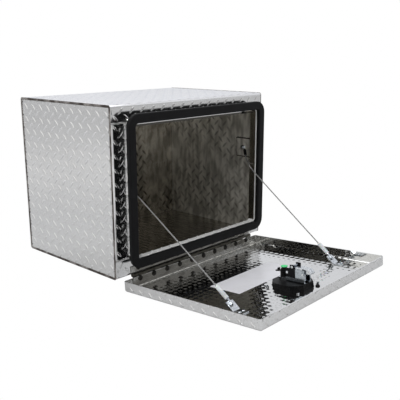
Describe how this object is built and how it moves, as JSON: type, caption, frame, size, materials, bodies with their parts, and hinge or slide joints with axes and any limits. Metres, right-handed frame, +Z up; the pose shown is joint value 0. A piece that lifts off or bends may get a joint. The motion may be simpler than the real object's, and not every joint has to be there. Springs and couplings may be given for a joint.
{
  "type": "underbody truck tool box",
  "caption": "Tread-plate box for under a truck bed, with a drop-down door on a piano hinge, two stay cables, a rubber door seal and a slam latch with a paddle and key lock.",
  "frame": {"origin": "centre of the box's flat underside", "axes": "+Z up; the mouth and the open door face -Y; +X is to the viewer's right when facing the mouth"},
  "size_m": [0.612, 0.8706, 0.4946],
  "materials": {
    "tread": "bright rolled tread plate, mill finish inside",
    "weld": "satin weld metal",
    "rubber": "matte black",
    "hinge": "bare stainless steel",
    "zinc": "bright zinc plate",
    "cable": "laid strands under clear cover",
    "sleeve": "pale translucent sleeve",
    "black": "black enamel",
    "green": "bright green moulding"
  },
  "bodies": {
    "box": {"body_wrapper": "tread", "left_end_panel": "tread", "right_end_panel": "tread", "left_corner_weld": "weld", "right_corner_weld": "weld", "opening_lip": "tread", "door_seal": "rubber", "hinge_box_leaf": "hinge", "hinge_pin": "hinge", "left_cable_anchor": "zinc", "left_anchor_nut": "zinc", "left_upper_lug": "zinc", "left_upper_sleeve": "rubber", "left_stay_cable": "cable", "right_cable_anchor": "zinc", "right_anchor_nut": "zinc", "right_upper_lug": "zinc", "right_upper_sleeve": "rubber", "right_stay_cable": "cable"},
    "paddle": {"latch_paddle": "black"},
    "bolt": {"slam_bolt": "zinc"},
    "lock_core": {"lock_plug": "zinc", "lock_cam": "black", "cam_nut": "black", "lock_cap": "green"},
    "door": {"door_pan": "tread", "door_bumper": "rubber", "latch_gasket": "rubber", "hinge_door_leaf": "hinge", "left_lower_lug": "zinc", "left_stay_bracket": "zinc", "left_stay_bolt": "zinc", "left_stay_nut": "zinc", "left_lower_sleeve": "sleeve", "right_lower_lug": "zinc", "right_stay_bracket": "zinc", "right_stay_bolt": "zinc", "right_stay_nut": "zinc", "right_lower_sleeve": "sleeve", "latch_dish": "black", "lock_cylinder": "black", "paddle_pin": "zinc", "latch_bracket": "zinc", "rear_guide_pin": "zinc", "front_guide_pin": "zinc", "upper_guide_pin": "zinc", "bolt_spring": "zinc", "lock_nut": "zinc", "dish_screw_1": "zinc", "dish_screw_2": "zinc", "dish_screw_3": "zinc", "dish_screw_4": "zinc", "dish_nut_1": "zinc", "dish_nut_2": "zinc", "dish_nut_3": "zinc", "dish_nut_4": "zinc"}
  },
  "joints": [
    {"name": "door_hinge", "type": "hinge", "parent": "box", "child": "door", "pos_m": [0, -0.208, 0], "axis": [-1, 0, 0], "range_deg": [0, 85.75], "deforming": ["left_stay_cable", "right_stay_cable"]},
    {"name": "paddle_turn", "type": "hinge", "parent": "door", "child": "paddle", "pos_m": [0, -0.58891, 0.00193], "axis": [-1, 0, 0], "range_deg": [0, 30]},
    {"name": "bolt_slide", "type": "slide", "parent": "door", "child": "bolt", "axis": [0, 0.9973, -0.0741], "range_m": [0, 0.015], "stiffness_N_per_m": 100, "springref_m": -0.008, "deforming": ["bolt_spring"]},
    {"name": "key_turn", "type": "hinge", "parent": "door", "child": "lock_core", "pos_m": [0.003, -0.52448, -0.01088], "axis": [0, 0.0741, 0.9973], "range_deg": [0, 90]}
  ],
  "couplings": [
    {"joint": "bolt_slide", "follows": "paddle_turn", "m_per_rad": 0.0285}
  ]
}
